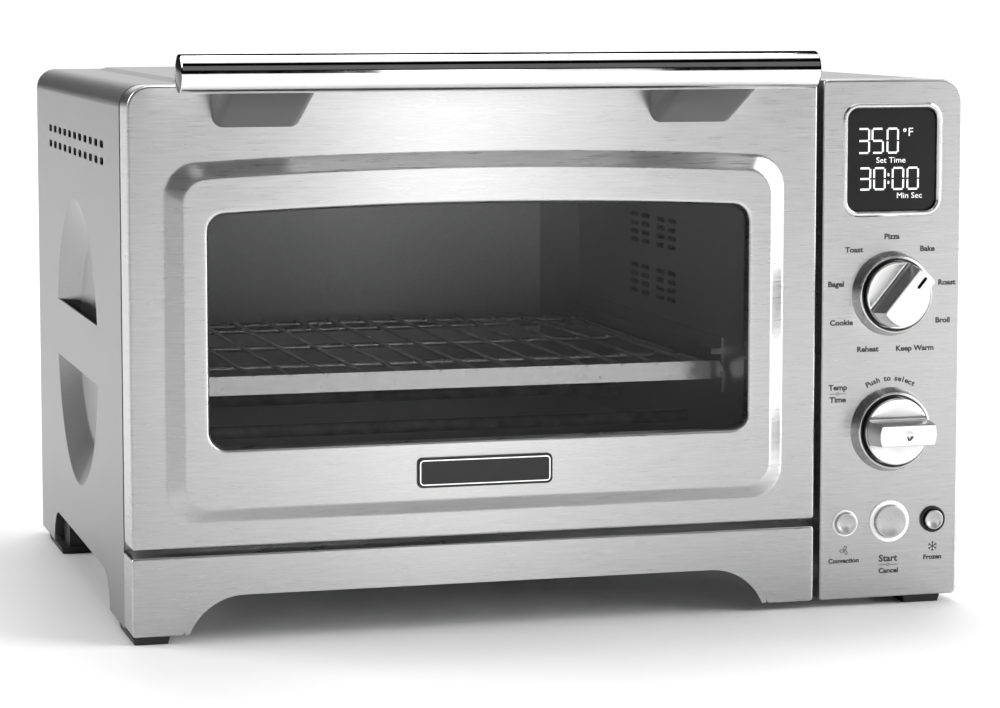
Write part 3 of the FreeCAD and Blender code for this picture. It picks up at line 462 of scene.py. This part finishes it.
def handle():
    """Polished tube with slightly domed glossy black ends."""
    x, y, z = span("handle_bar")
    outer = (y[1] - y[0]) / 2
    wall = 1.5
    start = [(outer - wall, x[0]), (outer - 0.5, x[0]), (outer, x[0] + 0.5)]
    end = [(outer, x[1] - 0.5), (outer - 0.5, x[1]), (outer - wall, x[1])]
    mesh = lathe_x(start + end, middle(y), middle(z), closed=True)
    piece("handle_tube", mesh, "door", chrome, ["handle_bar"])
    caps_x = span("handle_end_caps")[0]
    caps = []
    for inner_x, outer_x in ((x[0], caps_x[0]), (x[1], caps_x[1])):
        out = outer_x - inner_x
        fit = outer - wall - 0.02
        profile = [(0.0, inner_x - 6 * out), (fit, inner_x - 6 * out), (fit, inner_x)]
        profile += [(outer - 0.35, inner_x + 0.02 * out)]
        for radius in (9.0, 8.0, 6.5, 4.5, 2.2, 0.0):
            profile.append((radius, inner_x + out * (1 - (radius / outer) ** 2)))
        caps.append(lathe_x(profile, middle(y), middle(z)))
    piece("handle_caps", joined(caps), "door", cap_black, ["handle_end_caps"])


def bracket_pair():
    """Dark brackets from the door's face to the tube: upright sides and an underside that slopes up."""
    x, _, z = span("handle_brackets")
    tube_x, tube_y, tube_z = span("handle_bar")
    tube_r = (tube_y[1] - tube_y[0]) / 2
    slope_end = 282.5
    meshes = []
    for left in (x[0], x[1] - BRACKET_W):
        wide = (left, left + BRACKET_W)
        back = ring(outline(wide, z, (6.0, 6.0, 0.5, 0.5)), 0.0)
        front = ring(outline(wide, (slope_end, z[1]), (4.0, 4.0, 0.5, 0.5)), middle(tube_y))
        tube = lathe_x([(tube_r, tube_x[0]), (tube_r, tube_x[1])], middle(tube_y), middle(tube_z))
        above = box_mesh(grown(wide, 5), (-30.0, 5.0), (280.0, 310.0))
        meshes.append(combined(loft([back, front]), [tube, above], "DIFFERENCE"))
    piece("handle_wedges", joined(meshes), "door", bracket_grey, ["handle_brackets"], 30, 0.5)


def badge():
    """Blank name plate: a dark plate with a thin bright line inside its edge."""
    x, y, z = span("badge_plate")
    plate = slab(outline(x, z, (3, 3, 3, 3)), (y[0] + 0.15, y[1]), 0.5)
    piece("badge", plate, "door", badge_black, ["badge_plate"])
    outer = outline(grown(x, -1.3), grown(z, -1.3), (2.1,) * 4)
    inner = outline(grown(x, -1.9), grown(z, -1.9), (1.5,) * 4)
    front, back = y[0] + 0.03, y[0] + 0.4
    line = loft([ring(outer, back), ring(outer, front), ring(inner, front), ring(inner, back)], closed=True)
    piece("badge_line", line, "door", silver_line)


# Controls ---------------------------------------------------------------------------------------

KNOB_R = 18.0
KNOB_FACE = -10.6
BAR_HALF_W = 5.75
DISH = 0.8
BEZEL_R = 9.0


def bar_outline(half_w, radius, turn, centre):
    """Bar across a knob: straight sides and ends that follow a circle."""
    reach = math.degrees(math.asin(half_w / radius))
    points = arc((0, 0), radius, 90 - reach, 90 + reach) + arc((0, 0), radius, 270 - reach, 270 + reach)
    angle = math.radians(-turn)
    cos, sin = math.cos(angle), math.sin(angle)
    return [(centre[0] + px * cos - pz * sin, centre[1] + px * sin + pz * cos) for px, pz in points]


def knob(name, node, turn, dish_r=0.0):
    """Round knob with a tall grip bar: turn is clockwise from upright, in degrees."""
    y = span(node)[1]
    centre = (middle(span("function_shaft")[0]), middle(span(node.replace("knob", "shaft"))[2]))
    rim = 0.8
    profile = soft([(6.0, y[1] - 1.6), (6.0, y[1]), (KNOB_R, y[1]), (KNOB_R, KNOB_FACE),
                    (0.0, KNOB_FACE)], rim, 5)
    disc = lathe_y(profile, *centre)
    tip = y[0]
    root = 2.0
    rings = []
    heights = [-0.4, 0.0] + [root * (1 - math.cos(math.radians(a))) for a in (15, 30, 45, 60, 75, 90)]
    for height in heights:
        flare = root - math.sqrt(max(root**2 - (root - max(height, 0.0)) ** 2, 0.0))
        rings.append((BAR_HALF_W + 0.55 + flare, KNOB_R - 0.25, height))
    full = KNOB_FACE - tip
    rings += [(BAR_HALF_W, KNOB_R - 1.9, full - 0.7), (BAR_HALF_W - 0.2, KNOB_R - 2.1, full - 0.2)]
    rings += [(BAR_HALF_W - 0.7, KNOB_R - 2.6, full)]
    bar = loft([ring(bar_outline(w, r, turn, centre), KNOB_FACE - h) for w, r, h in rings])
    mesh = combined(disc, [bar], "UNION")
    if dish_r:
        ball_r = (dish_r**2 + DISH**2) / (2 * DISH)
        turns = [math.radians(3 * k) for k in range(61)]
        ball = [(ball_r * math.sin(a), tip + DISH - ball_r - ball_r * math.cos(a)) for a in turns]
        mesh = combined(mesh, [lathe_y(ball, *centre)], "DIFFERENCE")
    piece(name, mesh, node, knob_metal, [node], 35)
    return centre, tip


def knob_marks():
    centre, tip = knob("function_dial", "function_knob", 40)
    reach = 10.2
    mark = outline((-0.9, 0.9), (reach - 3.7, reach + 3.7), (0.88,) * 4)
    angle = math.radians(-40)
    turned = [(centre[0] + px * math.cos(angle) - pz * math.sin(angle),
               centre[1] + px * math.sin(angle) + pz * math.cos(angle)) for px, pz in mark]
    piece("function_mark", slab(turned, (tip, tip + 0.4)), "function_knob", ink)
    knob("adjust_dial", "adjust_knob", 90, 3.0)


def collars():
    """Raised rings round the knobs, lined inside with black sleeves that are painted shade for the dark gap
    round each knob.
    """
    rings = []
    shade_linings = []
    front = span("knob_collars")[1][0]
    for shaft in ("function_shaft", "adjust_shaft"):
        x, _, z = span(shaft)
        # Black lining on the collar's inner wall: painted shade in the gap between collar and knob.
        shade_lining = [(18.5, -0.9), (18.5, front + 1.0), (19.4, front + 0.5), (19.4, -0.9)]
        shade_linings.append(lathe_y(shade_lining, middle(x), middle(z), closed=True))
        profile = soft([(22.8, 0.0), (22.0, -1.8), (20.7, front + 0.3), (20.0, front), (19.4, front + 0.3),
                        (19.35, -0.9), (4.0, -0.9), (4.0, 0.0)], 0.5, 4)
        rings.append(lathe_y(profile, middle(x), middle(z), closed=True))
    piece("collar_rings", joined(rings), "casing", collar_metal, ["knob_collars"])
    piece("collar_painted_shade", joined(shade_linings), "casing", black_plastic)


def buttons():
    """Dished metal buttons in raised rings; the two left rings are pale and the right one dark."""
    pale = []
    edge = 0.4
    for name in ("convection_button", "start_button", "frozen_button"):
        x, y, z = span(name)
        radius = (x[1] - x[0]) / 2
        flat = radius - edge - 0.2
        shares = [k / 8 for k in range(9)]
        face = [(flat * share, y[0] + DISH * (1 - share**2)) for share in shares]
        side = [(radius - edge + edge * math.sin(a), y[0] + edge - edge * math.cos(a))
                for a in (math.radians(15 * k) for k in range(7))]
        back = y[1] - 4.0
        body = lathe_y(face + side + [(radius, back), (0.0, back)], middle(x), middle(z))
        piece(name.replace("button", "key"), body, name, key_metal, [name])
        ring_r = {"convection_button": 7.0, "start_button": 11.25, "frozen_button": 7.1}[name]
        inner = radius + 0.3
        lip = span("button_rings")[1][0]
        section = soft([(ring_r, 0.0), (ring_r, lip), (inner, lip), (inner, 4.0), (ring_r - 0.8, 4.0),
                        (ring_r - 0.8, 0.0)], 0.35)
        collar = lathe_y(section, middle(x), middle(z), 96, closed=True)
        if name == "frozen_button":
            piece("frozen_ring", collar, "casing", badge_black)
        else:
            pale.append(collar)
    piece("pale_rings", joined(pale), "casing", ring_plastic, ["button_rings"])


def display():
    """Bevelled frame and dark lens; gives back the lens's front face, where the lit figures go."""
    x, y, z = span("display_bezel")
    steps = soft([(0.0, 0.0), (0.15, -0.2), (0.9, y[0]), (2.2, y[0]), (3.0, 0.2), (3.0, 5.0)], 0.25)
    steps += [(1.1, 5.0), (1.1, 0.0)]
    rings = []
    for inset, depth in steps:
        shape = outline(grown(x, -inset), grown(z, -inset), (BEZEL_R - inset,) * 4)
        rings.append(ring(shape, depth))
    frame_mesh = loft(rings, closed=True)
    piece("display_frame", frame_mesh, "casing", bezel_chrome, ["display_bezel"])
    lens_x, lens_y, lens_z = span("display_lens")
    lens = slab(outline(lens_x, lens_z, (7.0,) * 4), lens_y, 0.4)
    piece("display_cover", lens, "casing", display_glass, ["display_lens"])
    return lens_y[0]


# Print and figures ------------------------------------------------------------------------------

SEGMENTS = {
    "0": "abcdef", "1": "bc", "2": "abged", "3": "abgcd", "4": "fgbc",
    "5": "afgcd", "6": "afgedc", "7": "abc", "8": "abcdefg", "9": "abcdfg",
}


def stroke(points, width, y, closed=False):
    """Flat line of one width through points, standing a hair proud of the face at y."""
    made = bmesh.new()
    pairs = list(zip(points, points[1:] + points[:1] if closed else points[1:]))
    for a, b in pairs:
        along = Vector(b) - Vector(a)
        side = Vector((-along.y, along.x)).normalized() * width / 2
        extra = along.normalized() * width * 0.3
        start, end = Vector(a) - extra, Vector(b) + extra
        corners = [start + side, start - side, end - side, end + side]
        front = [made.verts.new(at(c.x, y - PRINT_DEPTH, c.y)) for c in corners]
        back = [made.verts.new(at(c.x, y, c.y)) for c in corners]
        made.faces.new(front)
        made.faces.new(back[::-1])
        for k in range(4):
            made.faces.new((front[k], back[k], back[(k + 1) % 4], front[(k + 1) % 4]))
    return finished(made, 1e-9)


def digit(figure, x, z, y, width=1.0):
    """Seven-segment figure in a box x by z."""
    mid = middle(z)
    gap = width * 0.75
    left, right = x[0] + width / 2, x[1] - width / 2
    low, high = z[0] + width / 2, z[1] - width / 2
    ends = {
        "a": ((left + gap, high), (right - gap, high)), "d": ((left + gap, low), (right - gap, low)),
        "g": ((left + gap, mid), (right - gap, mid)), "b": ((right, mid + gap), (right, high - gap)),
        "c": ((right, low + gap), (right, mid - gap)), "f": ((left, mid + gap), (left, high - gap)),
        "e": ((left, low + gap), (left, mid - gap)),
    }
    return [stroke(list(ends[name]), width, y) for name in SEGMENTS[figure]]


def words(text, x, z, size, y, turn=0.0, weight=0.0):
    """Plain word centred on x and z; size is its capital height, turn tilts it clockwise."""
    curve = bpy.data.curves.new("word", "FONT")
    curve.body = text
    curve.align_x = "CENTER"
    curve.align_y = "CENTER"
    curve.size = size * MM / 0.7
    curve.extrude = PRINT_DEPTH * MM / 2
    curve.offset = weight * MM
    curve.resolution_u = 3
    holder = bpy.data.objects.new("word", curve)
    bpy.context.collection.objects.link(holder)
    bpy.context.view_layer.update()
    graph = bpy.context.evaluated_depsgraph_get()
    mesh = bpy.data.meshes.new_from_object(holder.evaluated_get(graph))
    bpy.data.objects.remove(holder)
    upright = Matrix.Translation(at(x, y - PRINT_DEPTH / 2, z)) @ Matrix.Rotation(math.pi / 2, 4, "X")
    wide = Matrix.Scale(1.1, 4, (1, 0, 0))
    mesh.transform(upright @ Matrix.Rotation(math.radians(-turn), 4, "Z") @ wide)
    return mesh


def circle(x, z, radius, width, y, steps=24):
    return stroke(arc((x, z), radius, 0, 360, steps)[:-1], width, y, closed=True)


def divider(x, z, half, y):
    """Thin bar with a small ring at its middle."""
    ring_r = 0.7
    bars = [stroke([(x + side * ring_r, z), (x + side * half, z)], 0.28, y) for side in (-1, 1)]
    return bars + [circle(x, z, ring_r, 0.28, y)]


def snowflake(x, z, size, y):
    strokes = []
    for k in range(6):
        turn = math.radians(60 * k + 30)
        out = Vector((math.cos(turn), math.sin(turn)))
        side = Vector((-out.y, out.x))
        centre = Vector((x, z))
        strokes.append(stroke([tuple(centre), tuple(centre + out * size)], 0.42, y))
        fork = centre + out * size * 0.62
        for way in (-1, 1):
            strokes.append(stroke([tuple(fork), tuple(fork + (out + side * way) * size * 0.26)], 0.34, y))
    return strokes


def fan_icon(x, z, size, y):
    """Three looped blades round a hub."""
    strokes = []
    for k in range(3):
        turn = math.radians(120 * k + 60)
        loop = []
        for step in range(14):
            a = 2 * math.pi * step / 14
            u = size * (0.62 + 0.48 * math.cos(a))
            v = size * (0.30 * math.sin(a) + 0.12)
            across = u * math.cos(turn) - v * math.sin(turn)
            up = u * math.sin(turn) + v * math.cos(turn)
            loop.append((x + across, z + up))
        strokes.append(stroke(loop, 0.36, y, closed=True))
    return strokes


DIAL_WORDS = (
    ("Pizza", 410.2, 199.3), ("Bake", 430.7, 192.4), ("Roast", 442.2, 174.0), ("Broil", 440.1, 153.6),
    ("Keep Warm", 424.2, 138.9), ("Reheat", 397.0, 139.0), ("Cookie", 381.8, 153.6), ("Bagel", 378.5, 174.3),
    ("Toast", 388.6, 192.5),
)
SMALL_WORDS = (
    ("Temp", 380.2, 118.8, 2.7), ("Time", 380.2, 112.2, 2.7), ("Start", 410.1, 25.1, 3.3),
    ("Cancel", 410.4, 18.4, 2.5), ("Convection", 384.5, 24.9, 2.25), ("Frozen", 436.0, 24.7, 2.3),
)


def panel_print():
    """Dark generic words and signs printed on the control panel."""
    y = 0.0
    marks = [words(text, x, z, 2.8, y, weight=0.16) for text, x, z in DIAL_WORDS]
    marks += [words(text, x, z, size * 1.06, y, weight=0.15) for text, x, z, size in SMALL_WORDS]
    marks += divider(380.2, 115.5, 4.6, y) + divider(410.2, 21.7, 5.6, y)
    marks += snowflake(436.0, 30.6, 2.6, y) + fan_icon(384.8, 30.6, 2.3, y)
    centre_z = middle(span("adjust_shaft")[2])
    text = "Push to select"
    step = 4.35
    for index, letter in enumerate(text):
        turn = (index - (len(text) - 1) / 2) * step
        angle = math.radians(90 - turn)
        radius = 27.6
        if letter != " ":
            marks.append(words(letter, 410.4 + radius * math.cos(angle), centre_z + radius * math.sin(angle),
                               2.8, y, turn, 0.14))
    piece("panel_print", joined(marks), "casing", ink)


def display_figures(y):
    figures = []
    for figure, left in zip("350", (390.7, 398.6, 407.2)):
        figures += digit(figure, (left, left + 7.0), (243.6, 257.4), y)
    figures += [circle(417.6, 256.0, 0.7, 0.35, y), words("F", 420.9, 254.8, 4.4, y)]
    for figure, left in zip("3000", (391.5, 399.8, 410.4, 418.9)):
        figures += digit(figure, (left, left + 7.1), (224.1, 236.4), y)
    figures += [stroke([(408.5, mid - 0.5), (408.5, mid + 0.5)], 0.95, y) for mid in (228.2, 232.3)]
    figures += [words("Set Time", 409.8, 240.0, 3.0, y), words("Min Sec", 420.6, 221.0, 3.0, y)]
    piece("display_figures", joined(figures), "casing", lit)


# Stage ------------------------------------------------------------------------------------------

CAMERA_PLACE = (-0.46485, -1.70021, 0.33057)
CAMERA_YAW = 15.577
CAMERA_PITCH = 5.547
LENS = 112.77
CAMERA_RISE = -0.06

# Bright parts of the studio round the oven: azimuth clockwise from straight behind it, elevation, both
# in degrees, and brightness. The rest is black.
WINDOWS = (
    ((0.0, 45.0), (-8.0, 18.0), 1.5),
    ((45.0, 90.0), (18.0, 48.0), 1.8),
    ((90.0, 135.0), (-8.0, 48.0), 5.6),
    ((270.0, 315.0), (18.0, 48.0), 6.0),
    ((135.0, 225.0), (20.0, 45.0), 0.14),
    ((0.0, 360.0), (64.0, 95.0), 1.4),
)

# Upright light cards in front: x, power in watts.
CARDS = ((0.34, 1.0), (0.48, 0.3), (1.0, 0.4))
CARD_Y = -1.75
CARD_Z = 0.33
CARD_SIZE = (0.14, 0.66)
CARD_AIM_Y = -0.148
CARD_AIM_Z = 0.12

# A wide card just over the floor in front, facing up.
LOW_CARD_PLACE = (0.35, -1.05, 0.012)
LOW_CARD_AIM = (0.35, -1.05, 1.0)
LOW_CARD_SIZE = (1.0, 1.2)
LOW_CARD_WATTS = 2.2

# High sun from behind on the right, soft-edged.
SUN_PLACE = (0.5, 1.3, 3.0)
SUN_STRENGTH = 1.2
SUN_ANGLE = 24.0


def camera():
    data = bpy.data.cameras.new("camera")
    data.sensor_width = 36.0
    data.lens = LENS
    data.shift_y = CAMERA_RISE
    holder = bpy.data.objects.new("camera", data)
    bpy.context.collection.objects.link(holder)
    holder.location = CAMERA_PLACE
    holder.rotation_euler = (math.radians(90 - CAMERA_PITCH), 0, math.radians(-CAMERA_YAW))
    bpy.context.scene.camera = holder


def floor():
    """Plain pale floor."""
    half = 40.0
    made = bmesh.new()
    corners = ((-half, -half), (half, -half), (half, half), (-half, half))
    made.faces.new([made.verts.new((x, y, 0.0)) for x, y in corners])
    plane = bpy.data.objects.new("floor", finished(made))
    bpy.context.collection.objects.link(plane)
    plane.data.materials.append(surface("floor_white", 0.88, 0.90, (0.5, 0.6), speckle(4, 2.0)))


def lamp(name, kind, place, aim, energy, size=(1.0, 1.0)):
    data = bpy.data.lights.new(name, kind)
    data.energy = energy
    if kind == "AREA":
        data.shape = "RECTANGLE"
        data.size, data.size_y = size
    else:
        data.angle = math.radians(size[0])
    holder = bpy.data.objects.new(name, data)
    bpy.context.collection.objects.link(holder)
    holder.location = place
    holder.rotation_euler = (Vector(aim) - Vector(place)).to_track_quat("-Z", "Y").to_euler()
    holder.visible_camera = False


def world():
    """Studio round the object: soft-edged bright windows in a black room, plain white to the camera."""
    made = bpy.data.worlds.new("studio")
    bpy.context.scene.world = made
    made.use_nodes = True
    tree = made.node_tree
    place = tree.nodes.new("ShaderNodeTexCoord")
    parts = tree.nodes.new("ShaderNodeSeparateXYZ")
    tree.links.new(place.outputs["Generated"], parts.inputs[0])

    def maths(operation, *values):
        node = tree.nodes.new("ShaderNodeMath")
        node.operation = operation
        for socket, value in zip(node.inputs, values):
            if isinstance(value, float):
                socket.default_value = value
            else:
                tree.links.new(value, socket)
        return node.outputs[0]

    def rising(value, low, high):
        node = tree.nodes.new("ShaderNodeMapRange")
        node.interpolation_type = "SMOOTHSTEP"
        node.inputs["From Min"].default_value = low
        node.inputs["From Max"].default_value = high
        tree.links.new(value, node.inputs["Value"])
        return node.outputs["Result"]

    x, y, up = parts.outputs
    flat = maths("SQRT", maths("MAXIMUM", maths("SUBTRACT", 1.0, maths("MULTIPLY", up, up)), 0.0001))
    total = 0.0
    for (left, right), (low, high), brightness in WINDOWS:
        centre, half = math.radians((left + right) / 2), (right - left) / 2
        toward = maths("ADD", maths("MULTIPLY", x, math.sin(centre)), maths("MULTIPLY", y, math.cos(centre)))
        edges = [math.cos(math.radians(half + blur)) for blur in (5, -5)]
        inside = rising(maths("DIVIDE", toward, flat), *edges)
        above = rising(up, math.sin(math.radians(low - 3)), math.sin(math.radians(low + 3)))
        under = rising(up, math.sin(math.radians(min(high + 3, 90))), math.sin(math.radians(high - 3)))
        share = maths("MULTIPLY", above, brightness) if half > 179 else maths("MULTIPLY", inside, above)
        if half < 179:
            share = maths("MULTIPLY", maths("MULTIPLY", share, under), brightness)
        total = maths("ADD", share, total)
    rays = tree.nodes.new("ShaderNodeLightPath").outputs["Is Camera Ray"]
    seen = maths("MAXIMUM", total, rays)
    tree.links.new(seen, tree.nodes["Background"].inputs["Color"])


def lights():
    """A soft sun, upright cards in front and one low card."""
    lamp("sun", "SUN", SUN_PLACE, (0, 0, 0), SUN_STRENGTH, (SUN_ANGLE, 0))
    for x, watts in CARDS:
        aim = (x / 2 - 0.2, CARD_AIM_Y, CARD_AIM_Z)
        lamp("card", "AREA", (x, CARD_Y, CARD_Z), aim, watts, CARD_SIZE)
    lamp("low_card", "AREA", LOW_CARD_PLACE, LOW_CARD_AIM, LOW_CARD_WATTS, LOW_CARD_SIZE)


finish_cad_nodes()
door_face()
handle()
bracket_pair()
badge()
knob_marks()
collars()
buttons()
display_figures(display())
panel_print()

camera()
floor()
world()
lights()
bpy.context.scene.view_settings.view_transform = "Standard"
